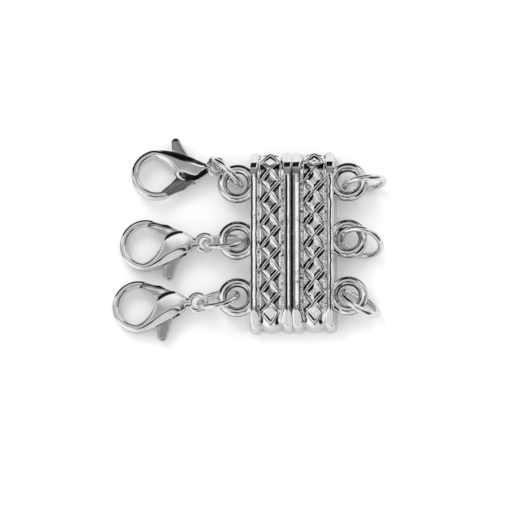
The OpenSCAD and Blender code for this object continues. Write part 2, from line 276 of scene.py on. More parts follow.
# The bar: a section is swept over the top and down both ends of one half.
# Heights are from the table, drops from the crest, s is the way along the middle of the half.
bar = {
    "height": 5.0,
    "seam": 0.025,  # half the gap between the halves
    "side": 6.6,
    "bendHigh": 2.1,  # drop to the foot of the section, where the plain wall starts
    # The crest over each end: along, up
    "northPath": [(10.9, 5.0), (11.15, 4.99), (11.4, 4.95), (11.7, 4.86), (12.0, 4.71), (12.25, 4.53),
                  (12.55, 4.28), (12.9, 3.985), (13.3, 3.65), (13.7, 3.315), (14.0, 3.06), (14.18, 2.9)],
    "southPath": [(11.25, 5.0), (11.6, 4.985), (11.9, 4.92), (12.2, 4.74), (12.6, 4.42), (13.0, 4.1),
                  (13.4, 3.78), (13.8, 3.46), (14.08, 3.23), (14.26, 3.09), (14.36, 2.99), (14.4, 2.9)],
    "wallEnd": 12.3,
    "corner": (5.85, 13.6),  # centre of the rounded corner that the flare turns about
    "flare": 0.3,
    "ridges": [(0.675, 0.65), (3.45, 1.75), (6.0, 0.6)],  # middle, radius
    "lobes": [(0.8, 1.05, 0.0), (3.45, 1.75, 0.05), (5.75, 0.85, 0.0)],  # middle, radius, drop at the ends
    "lobeRun": (11.4, 14.0),
    "blunt": 3.5,
    "spread": {"north": (-1.25, -0.5), "south": (0.2, 1.3)},  # where the ridges widen, from the bend
    "lastRun": 0.7,
    "bandFlat": 0.5,
    "outerLean": 10.0,
    "innerRidge": 0.65,
    "outerRidge": 0.6,
    "ridgePoints": 27,
    "groove": 0.85,
    "grooveSag": 0.03,
    "grooveLips": (0.78, 0.75),
    "bandPoints": 74,
    "step": 0.054,
    "foot": 0.08,
    "footHeight": 0.045,
    "wallLevels": [0.85, 0.7, 0.55, 0.4, 0.25, 0.12, 0.04, 0.012, 0.0],
    "northShade": (10.0, 10.25, 10.9, 11.1, 0.8),  # from, full, until, gone, tone
    "pocket": (1.6, 11.05, 1.45, 3.55),  # depth, reach, low, high
}
lattice = {
    "middle": 3.45,
    "radius": 2.4,
    "drop": 0.1,
    "halfWidth": 1.475,
    "pitch": 3.65,
    "cells": (-4, 3),
    "strand": 0.25,
    "strandGroove": (0.035, 0.1, 0.06),  # core, width, depth
    "shoulder": (0.28, 0.15),  # width, fall
    "wall": 0.4,
    "depth": 0.42,
    "shade": 1.5,
    "cellShade": (0.28, 0.35),
    "sideShade": (0.26, 0.4),  # reach on the outer and on the inner side
    "sideDepth": 0.3,
    "sideEdge": 1.62,
    "sideTilt": -0.13,
    "sideLean": 0.92,
    "sideBlend": (0.18, 0.27),
    "sideTones": (0.9, 0.7),
    "northShade": (10.75, 11.15, 1.2),
    "dimple": (-1.82, 0.5, 0.24, 0.3),  # across, along, size, depth
    "endFloor": (3.9, 0.82, 12.5),  # height, fall, where
    "endShade": (0.18, 0.26, 1.3),
}


def domeDrop(dx):
    return lattice["drop"] + lattice["radius"] - sqrt(max(0.0, lattice["radius"] ** 2 - dx * dx))


def shoulderDrop(w, deep):
    width, fall = lattice["shoulder"]
    if w < width:
        return fall * w / width
    return mix(fall, deep, clamp((w - width) / (lattice["wall"] - width)))


# Side cells between the strands: a leaning flat floor with a shaded wall on one side
def sideCell(dx, s, w, edge, side, floorShade, crest, recess):
    p = lattice
    near = p["sideLean"]
    lean = asin(near / p["radius"])
    flat = domeDrop(near) + tan(lean) * (abs(dx) - near) + p["sideDepth"] / cos(lean)
    middle = round(s / p["pitch"]) * p["pitch"]
    outer = side * dx > 0
    if not outer:
        flat += p["sideTilt"] * (s - middle)
    t = smooth(*p["sideBlend"], edge)
    crest = (crest + shoulderDrop(min(edge, p["shoulder"][0]), 1.0)) * (1 - t) + max(crest, flat) * t
    # Painted shade on the wall on one side of the cell and over its floor, and a painted shade band towards
    # the north end
    if side * dx * (s - middle) > 0:
        reach = p["sideShade"][0 if outer else 1]
        recess = max(recess, p["shade"] * smooth(-0.02, 0.03, w) * (1 - smooth(reach, reach + 0.06, w)))
    recess = max(recess, floorShade * p["sideTones"][0 if outer else 1] * smooth(0.2, 0.3, edge))
    low, high, tone = p["northShade"]
    return crest, max(recess, tone * smooth(low, high, s) * smooth(0.05, 0.1, edge))


# Drop and painted shade of the lattice at dx from its middle, and how far a point lies inside an end cell
def latticeDrop(dx, s, side, floorShade):
    p = lattice
    half = p["pitch"] / 2
    reach = p["halfWidth"] * half / hypot(p["halfWidth"], half)
    crest = domeDrop(dx)
    first, last = p["cells"]
    cell = max(first, min(last, round(s / p["pitch"] - 0.5)))
    ds = s - (cell + 0.5) * p["pitch"]
    across = (1 - abs(dx) / p["halfWidth"] - abs(ds) / half) * reach
    rising = side * dx * ds < 0
    grooveCore, grooveWidth, grooveDeep = p["strandGroove"]
    # Painted shade in the strand grooves, on one wall and the floor of each cell, and in the dimple
    recess = 0.0
    if abs(dx) < p["sideEdge"]:
        groove = 1 - smooth(grooveCore, grooveWidth, abs(across))
        crest += grooveDeep * groove
        recess = (1.0 if rising else 0.5) * groove
    w = abs(across) - p["strand"]
    edge = min(w, p["sideEdge"] - abs(dx))
    if across > 0 and w > 0:
        crest = max(crest, p["drop"] + shoulderDrop(w, p["depth"]))
        if rising:
            recess = max(recess, p["shade"] * smooth(-0.02, 0.03, w) * (1 - smooth(*p["cellShade"], w)))
        recess = max(recess, floorShade * smooth(p["wall"], p["wall"] + 0.12, w))
    elif across < 0 and edge > 0 and abs(s) < 3.5 * p["pitch"]:
        crest, recess = sideCell(dx, s, w, edge, side, floorShade, crest, recess)
    away, ahead, size, deep = p["dimple"]
    corner = hypot(dx - away, ds - ahead)
    if corner < size:
        crest += deep * (1 - smooth(0.03, size, corner))
        recess = max(recess, p["shade"] * (1 - smooth(0.1, size, corner)))
    return crest, recess, w if across > 0 and cell in p["cells"] else -1.0


def ridgeArc(middle, r):
    last = bar["ridgePoints"] - 1
    return [(middle + r * cos(pi - pi * k / last), r - r * sin(pi - pi * k / last), "ridge")
            for k in range(last + 1)]


def grooveRun(start, width, steps):
    return [(start + width * t, bar["groove"] + bar["grooveSag"] * sin(pi * t), "groove")
            for t in (k / 5 for k in steps)]


# The section from the seam outwards: across, drop, kind
def barSection():
    b = bar
    inner, outer = b["innerRidge"], b["outerRidge"]
    rise = lattice["radius"] + lattice["drop"] - b["groove"]
    edge = lattice["middle"] - sqrt(lattice["radius"] ** 2 - rise ** 2)
    far = 2 * lattice["middle"] - edge
    x0 = b["seam"] + 2 * inner
    x1 = b["side"] - 2 * outer
    count = b["bandPoints"]
    points = ridgeArc(b["seam"] + inner, inner)
    points.append((x0 + 0.01, b["grooveLips"][0], "groove"))
    points += grooveRun(x0 + 0.04, edge - x0 - 0.06, range(6))
    points += [(edge + 2 * (lattice["middle"] - edge) * k / count, 0, "band") for k in range(count + 1)]
    points += grooveRun(far, x1 - far, range(1, 5))
    points.append((x1, b["grooveLips"][1], "groove"))
    points += ridgeArc(b["side"] - outer, outer)
    points += [(b["side"], outer + (b["bendHigh"] - outer) * k / 5, "wall") for k in range(1, 6)]
    return points


# Rows down one end: along, up, slope, wall edge, length, spread of the lobes, nearness to the last row
def endStations(path, spreadRange):
    b = bar
    made = spline(path, 8)
    flat = length = path[0][0]
    stations = []
    for k, here in enumerate(made):
        ahead, behind = made[min(k + 1, len(made) - 1)], made[max(k - 1, 0)]
        slope = atan2(behind[1] - ahead[1], ahead[0] - behind[0])
        if k > 0:
            length += hypot(here[0] - behind[0], here[1] - behind[1])
        edge = flat + (b["wallEnd"] - flat) * k / (len(made) - 1)
        spread = smooth(flat + spreadRange[0], flat + spreadRange[1], here[0])
        last = smooth(path[-1][0] - b["lastRun"], path[-1][0], here[0])
        stations.append((here[0], here[1], slope, edge, length, spread, last))
    return stations


# The same rows for the whole half, with the end they belong to in front: -1 south, 0 none, 1 north
def barPath():
    south = endStations(bar["southPath"], bar["spread"]["south"])
    north = endStations(bar["northPath"], bar["spread"]["north"])
    stations = [(-1, *row[:4], -row[4], *row[5:]) for row in reversed(south[1:])]
    low, high = -south[0][0], north[0][0]
    start, full = bar["spread"]["north"]
    count = round((high - low) / bar["step"])
    for k in range(count + 1):
        y = low + (high - low) * k / count
        stations.append((0, y, bar["height"], 0.0, y, y, smooth(high + start, high + full, y), 0.0))
    stations += [(1, *row) for row in north[1:]]
    return stations


def lobeDrop(x, grow, blunt):
    drops = [bar["groove"]]
    power = 2 + blunt
    for (ridgeMiddle, ridgeRadius), (middle, radius, fall) in zip(bar["ridges"], bar["lobes"]):
        r = mix(ridgeRadius, radius, grow)
        u = abs(x - ridgeMiddle - (middle - ridgeMiddle) * grow) / r
        if u < 1:
            drops.append(fall + r * (1 - (1 - u ** power) ** (1 / power)))
    return min(drops)


def bandPoint(x, station, look):
    p = lattice
    end, along, up, slope, _, s, spread, _ = station
    dx = x - p["middle"]
    drop, recess, inPit = latticeDrop(dx, s, look["side"], look["floorShade"])
    if inPit > 0:
        level, fall, place = p["endFloor"]
        plane = (up - level + fall * (along - place)) / (cos(slope) + fall * sin(slope))
        rim = domeDrop(dx)
        drop = mix(rim, max(plane, rim + 0.02), smooth(0.0, 0.16, inPit))
        # Painted shade on the walls of the end pits: all round at the north end, on one side at the south
        # end
        shaded = end > 0 or (look["side"] * dx < 0 and s < -3.5 * p["pitch"])
        full, gone, tone = p["endShade"]
        recess = tone * smooth(0.0, 0.04, inPit) * (1 - smooth(full, gone, inPit)) * shaded
    drop = min(drop, bar["groove"] + 0.06)
    if end > 0:
        drop -= bar["bandFlat"] * spread * (domeDrop(min(abs(dx), 1.5)) - p["drop"])
    return drop + look["band"] * ripple(x, s, 0, 0.35, look["seed"]), recess


def groovePoint(x, drop, s, look):
    seed = look["seed"]
    blotch = ripple(x, s, 0, 0.5, seed + 4)
    waves = ripple(x, s, 0, 0.22, seed + 2) + 0.5 * ripple(x, s, 0, 0.6, seed)
    # Painted shade in the groove, in blotches
    return drop + look["groove"] * waves, 0.08 + 0.9 * smooth(0.2, 0.45, blotch)


def ridgePoint(x, drop, kind, station, look):
    b = bar
    seed = look["seed"]
    s, spread = station[5:7]
    # Painted shade in the seam, painted dark reflection lines along the ridges, and a painted shade band
    # towards the north end
    recess = 1.5 * (1 - smooth(0.08, 0.16, x))
    for place, half, tone, ragged in look["lines"]:
        away = abs(x - place - ragged * ripple(0, s, 3, 1.1, seed)) - half
        recess = max(recess, tone * (1 - smooth(-0.03, 0.05, away)))
    recess *= 1 - 0.95 * spread
    start, full, until, gone, tone = b["northShade"]
    if x < b["side"] - 0.02:
        recess = max(recess, tone * smooth(start, full, s) * (1 - smooth(until, gone, s)))
    if kind == "ridge" and x > 4:
        drop -= tan(radians(b["outerLean"])) * (x - b["side"] + b["outerRidge"]) * (1 - spread)
    drop += look["ridge"] * ripple(x * 0.3, s, 0, 2.2, seed + (1 if x < 3 else 5))
    patch = smooth(0.2, 0.6, abs(ripple(x, s, 4, 2.5, seed)))
    drop += look["dent"] * ripple(x, s, 0, 0.5, seed + 9) * patch
    return drop, recess


# Points over the top of one half, row by row
def topPoints(section, stations, look):
    b = bar
    points, recesses = [], []
    top = b["height"] - b["bendHigh"]
    for station in stations:
        end, along, up, slope, edge, s, spread, last = station
        grow = smooth(*b["lobeRun"], along) if end else 0.0
        blunt = b["blunt"] * spread * (1 - last)
        for x, drop, kind in section:
            if kind == "band":
                drop, recess = bandPoint(x, station, look)
            elif kind == "groove":
                drop, recess = groovePoint(x, drop, s, look)
            else:
                drop, recess = ridgePoint(x, drop, kind, station, look)
            weight = last if kind == "band" else spread
            if weight > 0 and kind != "wall":
                drop = mix(drop, min(drop, lobeDrop(x, grow, blunt)), weight)
                if kind == "groove":
                    recess *= 1 - 0.6 * spread
            sign = end or 1
            if kind == "wall":
                t = (drop - b["outerRidge"]) / (b["bendHigh"] - b["outerRidge"])
                y = mix(ridgeEdge[0], sign * edge, t)
                z = mix(ridgeEdge[1], min(top, ridgeEdge[1] - 0.05), t)
            else:
                y = sign * (along - drop * (sin(slope) + (1 - sin(slope)) * last))
                z = up - drop * cos(slope)
                ridgeEdge = (y, z)
            points.append((x, y, z))
            recesses.append(recess)
    return points, recesses


# The way in which the wall leans at a point
def outward(x, y):
    aside = max(0.0, x - bar["corner"][0])
    ahead = max(0.0, abs(y) - bar["corner"][1])
    far = hypot(ahead, aside)
    sign = 1 if y > 0 else -1
    return (aside / far, sign * ahead / far) if far > 0 else (0.0, sign)


# The walls go down from the rim, flare a little and are drawn in at the foot
def addWalls(points, recesses, faces, rim):
    previous = rim
    columns = [[rim[0]], [rim[-1]]]
    for level in bar["wallLevels"]:
        shift = bar["flare"] * (1 - level) - bar["foot"] * (1 - smooth(0.0, bar["footHeight"], level))
        ring = []
        for index in rim:
            x, y, base = points[index]
            dx, dy = outward(x, y)
            ring.append(len(points))
            points.append((x + dx * shift, y + dy * shift, base * level))
            # The painted shade of the rim fades down the wall towards the foot
            recesses.append(recesses[index] * level)
        faces += [(previous[k], previous[k + 1], ring[k + 1], ring[k]) for k in range(len(rim) - 1)]
        columns[0].append(ring[0])
        columns[1].append(ring[-1])
        previous = ring
    faces.append(tuple(reversed(previous)))
    return columns


# The seam face, with the pocket that holds the magnet
def addSeam(points, recesses, faces, topColumn, columns):
    depth, reach, low, high = bar["pocket"]
    k = dict(zip("abcdefgh", range(len(points), len(points) + 8)))
    for x in (bar["seam"], bar["seam"] + depth):
        points += [(x, -reach, high), (x, reach, high), (x, reach, low), (x, -reach, low)]
        # A faint painted shade in the pocket
        recesses += [0.2] * 4
    rows = range(len(topColumn))
    near = min(rows, key=lambda r: abs(points[topColumn[r]][1] + reach))
    far = min(rows, key=lambda r: abs(points[topColumn[r]][1] - reach))
    north, south = columns
    faces.append((*topColumn[near:far + 1], k["b"], k["a"]))
    faces.append((*topColumn[far:], *north[1:], k["c"], k["b"]))
    faces.append((*reversed(south[1:]), *topColumn[:near + 1], k["a"], k["d"]))
    faces.append((k["d"], k["c"], north[-1], south[-1]))
    faces += [tuple(k[q] for q in quad) for quad in ("abfe", "bcgf", "cdhg", "daeh", "efgh")]


def barHalf(name, look):
    section, stations = barSection(), barPath()
    points, recesses = topPoints(section, stations, look)
    cols, rows = len(section), len(stations)
    faces = [(a, a + 1, a + cols + 1, a + cols)
             for r in range(rows - 1) for a in range(r * cols, r * cols + cols - 1)]
    rim = [(rows - 1) * cols + c for c in range(cols)]
    rim += [r * cols + cols - 1 for r in range(rows - 2, -1, -1)]
    rim += range(cols - 2, -1, -1)
    columns = addWalls(points, recesses, faces, rim)
    addSeam(points, recesses, faces, [r * cols for r in range(rows)], columns)
    obj = meshObject(name, [(look["side"] * x, y, z) for x, y, z in points], faces)
    paintShade(obj, recesses)
    finishMesh(obj, materials["barPlating"], 38)
    return obj


# Unevenness of each form, and the painted dark reflection lines along the ridges: place, half width, tone,
# raggedness
halves = {
    "barRight": {
        "side": 1, "seed": 3, "floorShade": 0.3,
        "band": 0.035, "groove": 0.07, "ridge": 0.02, "dent": 0.04,
        "lines": [(0.42, 0.13, 0.8, 0.02), (1.23, 0.08, 0.95, 0.05), (6.02, 0.11, 1.4, 0.16),
                  (5.5, 0.05, 0.8, 0.1)]},
    "barLeft": {
        "side": -1, "seed": 1, "floorShade": 0.85,
        "band": 0.008, "groove": 0.05, "ridge": 0.012, "dent": 0.02,
        "lines": [(0.26, 0.14, 0.8, 0.04), (0.84, 0.14, 1.6, 0.02), (6.28, 0.12, 1.5, 0.05),
                  (5.62, 0.07, 1.1, 0.08)]},
}
barRight, barLeft = (barHalf(name, look) for name, look in halves.items())
print("bar halves made")


# Geometry Nodes for rings that repeat or follow a circle
def geometryGroup(name, values):
    group = bpy.data.node_groups.new(name, "GeometryNodeTree")
    sockets = addInputs(group, values)
    group.interface.new_socket("Geometry", in_out="OUTPUT", socket_type="NodeSocketGeometry")
    n = Nodes(group)
    return n, n.add("NodeGroupInput").outputs, n.add("NodeGroupOutput").inputs, (group, sockets)


def treeObject(name, tree, values):
    group, sockets = tree
    obj = bpy.data.objects.new(name, bpy.data.meshes.new(name))
    scene.collection.objects.link(obj)
    modifier = obj.modifiers.new("shape", "NODES")
    modifier.node_group = group
    for label, value in values.items():
        modifier[sockets[label]] = value
    return applied(obj)


def circleCurve(n, radius, points):
    kind = "GeometryNodeCurvePrimitiveCircle"
    return n.make(kind, {"Radius": radius, "Resolution": points}, mode="RADIUS")


# A round wire along a curve, as a mesh
def sweepWire(n, curve, radius, points, growth=1.0, caps=False):
    profile = circleCurve(n, radius, points)
    return n.make("GeometryNodeCurveToMesh", {
        "Curve": curve, "Profile Curve": profile, "Scale": growth, "Fill Caps": caps})


def endTree(n, geometry, material, output):
    made = n.make("GeometryNodeSetMaterial", {"Geometry": geometry, "Material": material})
    n.join(made, output["Geometry"])


castLoops = {"Loop Radius": 2.4 * mm, "Wire Radius": 0.75 * mm, "Root Growth": 1.12, "Pitch": 9.3 * mm,
             "Count": 3, "Distance": 8.7 * mm, "Height": 2.6 * mm, "Wobble": 0.05 * mm, "Seed": 1.0,
             "Material": materials["loopPlating"]}
# Painted dark reflection bands round the wire: middle angle, half width, tone, and what the tone gains
# towards the north
paintedLoopBands = [(6, 12, 1.3, 0.0), (47, 10, 0.5, 1.2), (112, 8, 0.9, -0.4), (156, 16, 1.4, 0.0)]


def castLoopTree():
    n, i, o, tree = geometryGroup("castLoopRow", castLoops)
    position = n.make("GeometryNodeInputPosition", {})
    # The wire is thicker where it meets the bar
    toBar = n.math("MULTIPLY", n.make("ShaderNodeSeparateXYZ", {0: position}), -1.0)
    growth = n.mapRange(n.math("DIVIDE", toBar, i["Loop Radius"]), 0.55, 1.0, 1.0, i["Root Growth"])
    wire = sweepWire(n, circleCurve(n, i["Loop Radius"], 96), i["Wire Radius"], 48, growth)
    halfRow = n.math("MULTIPLY", n.math("SUBTRACT", i["Count"], 1.0), -0.5)
    first = n.make("ShaderNodeCombineXYZ", {
        "X": i["Distance"], "Y": n.math("MULTIPLY", i["Pitch"], halfRow), "Z": i["Height"]})
    offset = n.make("ShaderNodeCombineXYZ", {"Y": i["Pitch"]})
    row = n.make("GeometryNodeMeshLine", {
        "Count": i["Count"], "Start Location": first, "Offset": offset}, mode="OFFSET")
    spread = n.make("GeometryNodeInstanceOnPoints", {"Points": row, "Instance": wire})
    real = n.make("GeometryNodeRealizeInstances", {"Geometry": spread})
    # A faint cast unevenness pushes the points along their normals
    seed = n.make("ShaderNodeCombineXYZ", {"Z": i["Seed"]})
    place = n.make("ShaderNodeVectorMath", {0: position, 1: seed}, operation="ADD")
    amount = n.math("MULTIPLY", n.math("SUBTRACT", n.noise(place, 500.0), 0.7), i["Wobble"])
    push = n.make("ShaderNodeVectorMath", {
        0: n.make("GeometryNodeInputNormal", {}), "Scale": amount}, operation="SCALE")
    moved = n.make("GeometryNodeSetPosition", {"Geometry": real, "Offset": push})
    endTree(n, moved, i["Material"], o)
    return tree


loopTree = castLoopTree()


def loopRow(name, side):
    obj = treeObject(name, loopTree, {**castLoops, "Seed": 1.0 if side > 0 else 2.0})
    tones = []
    pitch = castLoops["Pitch"] / mm
    for vertex in obj.data.vertices:
        x, y, z = vertex.co / mm
        dx, dy = x - castLoops["Distance"] / mm, y - pitch * round(y / pitch)
        wire = degrees(atan2(z - castLoops["Height"] / mm, hypot(dx, dy) - castLoops["Loop Radius"] / mm))
        north = dy / hypot(dx, dy)
        uneven = 0.75 + 0.6 * ripple(dx, y, z, 1.6, side)
        tone = 0.0
        # Painted dark reflection bands by the angle round the wire, unevenly strong
        for middle, half, least, turned in paintedLoopBands:
            amount = max(0.0, least + turned * north) * uneven
            tone = max(tone, amount * (1 - smooth(half - 3, half + 4, abs(wire - middle))))
        tones.append(tone)
    paintShade(obj, tones)
    if side < 0:
        obj.data.transform(Matrix.Scale(-1, 4, (1, 0, 0)))
    finishMesh(obj, materials["loopPlating"], 60)
    return obj


loopsRight = loopRow("castLoopsRight", 1)
loopsLeft = loopRow("castLoopsLeft", -1)


ringSize = {"radius": 3.1, "wire": 0.475, "cut": 0.05}
ringWire = {"Ring Radius": ringSize["radius"] * mm, "Wire Radius": ringSize["wire"] * mm, "Cut Angle": 0.0,
            "Cut Width": ringSize["cut"] * mm, "Material": materials["ringPlating"]}


def jumpRingTree():
    n, i, o, tree = geometryGroup("jumpRingWire", ringWire)
    gap = n.math("DIVIDE", i["Cut Width"], i["Ring Radius"])
    arc = n.make("GeometryNodeCurveArc", {
        "Resolution": 120, "Radius": i["Ring Radius"], "Start Angle": i["Cut Angle"],
        "Sweep Angle": n.math("SUBTRACT", 2 * pi, gap)}, mode="RADIUS")
    wire = sweepWire(n, arc, i["Wire Radius"], 24, caps=True)
    real = n.make("GeometryNodeRealizeInstances", {"Geometry": wire})
    endTree(n, real, i["Material"], o)
    return tree


rings = {
    "left_upper": {"at": (-10.41, 10.86), "turn": -42.2, "lean": -90.1, "cut": 200},
    "left_middle": {"at": (-10.67, -0.32), "turn": 3.6, "lean": -59.6, "cut": 250},
    "left_lower": {"at": (-11.65, -9.66), "turn": 13.8, "lean": -57.4, "cut": 70},
    "right_upper": {"at": (11.36, 8.73), "turn": 7.0, "lean": 90.0, "cut": 320},
    "right_middle": {"at": (10.87, -0.8), "turn": -15.0, "lean": 65.0, "cut": 20},
    "right_lower": {"at": (10.57, -10.67), "turn": -37.0, "lean": -62.0, "cut": 150},
}
ringTree = jumpRingTree()
jumpRings = {}
for name, ring in rings.items():
    label = "jumpRing" + "".join(word.capitalize() for word in name.split("_"))
    obj = treeObject(label, ringTree, {**ringWire, "Cut Angle": radians(ring["cut"])})
    lean = radians(ring["lean"])
    z = ringSize["wire"] + ringSize["radius"] * abs(sin(lean))
    obj.data.transform(Matrix.Translation(Vector((*ring["at"], z)) * mm)
                       @ Matrix.Rotation(radians(ring["turn"]), 4, "Z") @ Matrix.Rotation(lean, 4, "X"))
    finishMesh(obj, materials["ringPlating"], 60)
    jumpRings[name] = obj
print("loops and jump rings made")

# Lobster clasps, in the clasp's own frame: the eye is the origin and the hook points along -X
clasp = {
    "hookCentre": (-9.4, -0.5),
    "holeRadius": 2.9,
    "tipWidth": 1.1,
    "hookWidth": 1.25,
    "tipAngles": (75.0, 88.4),
    "endAngle": 270.0,
    "tipHeight": 0.82,
    "hookHeight": 1.1,
    "hookEdges": (0.38, 0.3, 0.5),  # outer bevel, inner bevel, inner wall
    "hookRows": 18,
    "backWall": 0.88,
    "tallBack": (0.6, 0.12, -3.4, -2.4),  # share of the height, loss towards the eye, from, to
    "growRun": (-5.4, -3.6),
    "eyeRadius": 1.3,
    "eyeWire": 0.425,
    "slotHeight": 1.3,
    "openAngle": 25.0,
    "openSteps": 5,
    "slotPoints": 400,
    "slotReach": 7.6,
    "gap": 0.08,
    "pivot": (-4.2, 0.2),
    "pinHole": 0.395,
    "pinReach": 1.16,
    "edgeRound": 0.24,
    "frontGrow": {"upper": 0.6, "others": 0.0},
}
# Outer x and y, inner x and y, half height, outer bevel, inner bevel, inner wall
belly = [
    (-8.3, -4.45, -8.55, -2.85, 1.2, 0.5, 0.55, 0.6),
    (-7.2, -4.12, -7.75, -2.15, 1.32, 0.75, 0.6, 0.8),
    (-6.2, -3.72, -7.1, -1.32, 1.42, 0.95, 0.62, 1),
    (-5.35, -3.28, -6.65, -0.35, 1.48, 1.1, 0.62, 1),
    (-4.7, -2.9, -6.4, 0.6, 1.5, 1.15, 0.6, 1),
    (-4.2, -2.6, -6.1, 1.05, 1.48, 1.15, 0.72, 1),
    (-3.7, -2.28, -5.4, 1.5, 1.42, 1.15, 0.72, 1),
    (-3.2, -1.95, -4.5, 1.78, 1.32, 1.1, 0.6, 1),
    (-2.75, -1.65, -3.6, 1.8, 1.18, 1.05, 0.4, 0.9),
    (-2.3, -1.35, -2.7, 1.4, 1, 0.95, 0.45, 0.6),
    (-1.85, -1.05, -1.95, 1, 0.8, 0.75, 0.45, 0.4),
    (-1.35, -0.78, -1.4, 0.74, 0.72, 0.6, 0.4, 0.35),
    (-1.0, -0.55, -1.0, 0.52, 0.62, 0.45, 0.3, 0.3),
]
lever = {
    "thick": 1.1,
    "round": 0.16,
    "rounding": [(1.0, 0.0), (0.3, 0.3), (0.05, 0.75), (0.0, 1.1)],  # inset, rise
    "pinHole": 0.42,
    "limbs": [  # each from one circle to the next: x, y, radius
        ((-4.2, 0.2, 1.05), (-4.4, 1.05, 0.8)),
        ((-4.4, 1.05, 0.8), (-6.3, 1.75, 0.95)),
        ((-4.2, 0.2, 1.05), (-6.3, 1.75, 0.95)),
        ((-6.3, 1.75, 0.95), (-8.9, 2.8, 0.6)),
        ((-4.2, 0.2, 1.05), (-5.1, -2.6, 1)),
        ((-5.1, -2.6, 1), (-5.42, -4.1, 0.84)),
        ((-5.42, -4.1, 0.84), (-5.5, -5.3, 0.72))],
    "gate": 3,
    "blend": 0.12,
    "gateTilt": (5.0, 10.0),
}
claspPlaces = {
    "upper": {"at": (-12.08, 12.39, 1.64), "turn": 11.3, "slope": -2.0, "roll": 175.5},
    "middle": {"at": (-13.85, -0.35, 2.63), "turn": -3.7, "slope": 6.3, "roll": 4.5},
    "lower": {"at": (-14.94, -10.04, 2.52), "turn": -1.8, "slope": 5.8, "roll": 4.5},
}


def hookPoint(r, a):
    x, y = clasp["hookCentre"]
    return x + r * cos(radians(a)), y + r * sin(radians(a))


def hookStation(t):
    c = clasp
    width = mix(c["tipWidth"], c["hookWidth"], t)
    outer = hookPoint(c["holeRadius"] + width, mix(c["tipAngles"][0], c["endAngle"], t))
    inner = hookPoint(c["holeRadius"], mix(c["tipAngles"][1], c["endAngle"], t))
    return (*outer, *inner, mix(c["tipHeight"], c["hookHeight"], t), *c["hookEdges"])


# The corners of a section, each rounded by a short curve
def roundedRing(corners, cut, steps):
    ring = []
    for k, here in enumerate(corners):
        back = corners[k - 1] - here
        ahead = corners[(k + 1) % len(corners)] - here
        c = min(cut, 0.42 * back.length, 0.42 * ahead.length)
        a = here + back.normalized() * c
        b = here + ahead.normalized() * c
        for j in range(steps + 1):
            t = j / steps
            ring.append(a * (1 - t) ** 2 + here * 2 * t * (1 - t) + b * t * t)
    return ring


# One section of the body; the upper clasp shows its other face, which is higher at the back
def claspRing(row, frontGrow):
    h, backBevel, frontBevel, frontWall = row[4:]
    outer = Vector((*row[0:2], 0))
    inner = Vector((*row[2:4], 0))
    across = (inner - outer).normalized()
    up = Vector((0, 0, 1))
    back = outer + across * backBevel
    front = inner - across * frontBevel * (1 + frontGrow * smooth(*clasp["growRun"], row[0]))
    backWall = min(clasp["backWall"], 0.8 * h)
    if frontGrow and row[0] > clasp["pivot"][0]:
        share, loss, start, full = clasp["tallBack"]
        backWall = h * (share - loss * smooth(start, full, row[0]))
    frontWall = min(frontWall, 0.75 * h)
    corners = [outer - up * backWall, outer + up * backWall, back + up * h, front + up * h,
               inner + up * frontWall, inner - up * frontWall, front - up * h, back - up * h]
    return roundedRing(corners, clasp["edgeRound"], 5)


def loft(rings):
    size = len(rings[0])
    points = [tuple(p) for ring in rings for p in ring]
    faces = [tuple(reversed(range(size)))]
    for k in range(len(rings) - 1):
        for j in range(size):
            a = k * size + j
            b = k * size + (j + 1) % size
            faces.append((a, b, b + size, a + size))
    faces.append(tuple((len(rings) - 1) * size + j for j in range(size)))
    return points, faces


# How far a point lies outside a limb between two circles
def limbDistance(x, y, limb, grow):
    (ax, ay, ra), (bx, by, rb) = limb
    length = hypot(bx - ax, by - ay)
    ux, uy = (bx - ax) / length, (by - ay) / length
    along = (x - ax) * ux + (y - ay) * uy
    aside = abs(-(x - ax) * uy + (y - ay) * ux)
    ra, rb = ra + grow, rb + grow
    b = (ra - rb) / length
    a = sqrt(1 - b * b)
    k = -aside * b + along * a
    if k < 0:
        return hypot(aside, along) - ra
    if k > a * length:
        return hypot(aside, along - length) - rb
    return aside * a + along * b - ra


# The slanted cut between the gate and the hook's tip
def jointDistance(x, y):
    ox, oy = hookPoint(clasp["holeRadius"] + clasp["tipWidth"], clasp["tipAngles"][0])
    ix, iy = hookPoint(clasp["holeRadius"], clasp["tipAngles"][1])
    length = hypot(ox - ix, oy - iy)
    nx, ny = -(oy - iy) / length, (ox - ix) / length
    return (x - (ox + ix) / 2) * nx + (y - (oy + iy) / 2) * ny + clasp["gap"]


def leverDistance(x, y, grow=0.0):
    k = lever["blend"]
    shape = -k * log(sum(exp(-limbDistance(x, y, limb, grow) / k) for limb in lever["limbs"]))
    return max(shape, jointDistance(x, y))


# Distance to all places that the lever passes while it opens
def slotDistance(x, y):
    px, py = clasp["pivot"]
    dx, dy = x - px, y - py
    best = inf
    for k in range(clasp["openSteps"] + 1):
        a = -radians(clasp["openAngle"]) * k / clasp["openSteps"]
        turned = (px + dx * cos(a) - dy * sin(a), py + dx * sin(a) + dy * cos(a))
        best = min(best, leverDistance(*turned, clasp["gap"]))
    return best


# The slot's outline, found by walking in towards the pivot from all round
def slotEdge():
    px, py = clasp["pivot"]
    made = []
    for k in range(clasp["slotPoints"]):
        a = 2 * pi * k / clasp["slotPoints"]
        reach = clasp["slotReach"]
        for _ in range(60):
            away = slotDistance(px + reach * cos(a), py + reach * sin(a))
            if away < 0.002:
                break
            reach -= away
        made.append((px + reach * cos(a), py + reach * sin(a)))
    return made


def gradient(shape, x, y):
    e = 1e-4
    gx = (shape(x + e, y) - shape(x - e, y)) / (2 * e)
    gy = (shape(x, y + e) - shape(x, y - e)) / (2 * e)
    size = max(hypot(gx, gy), 1e-6)
    return gx / size, gy / size


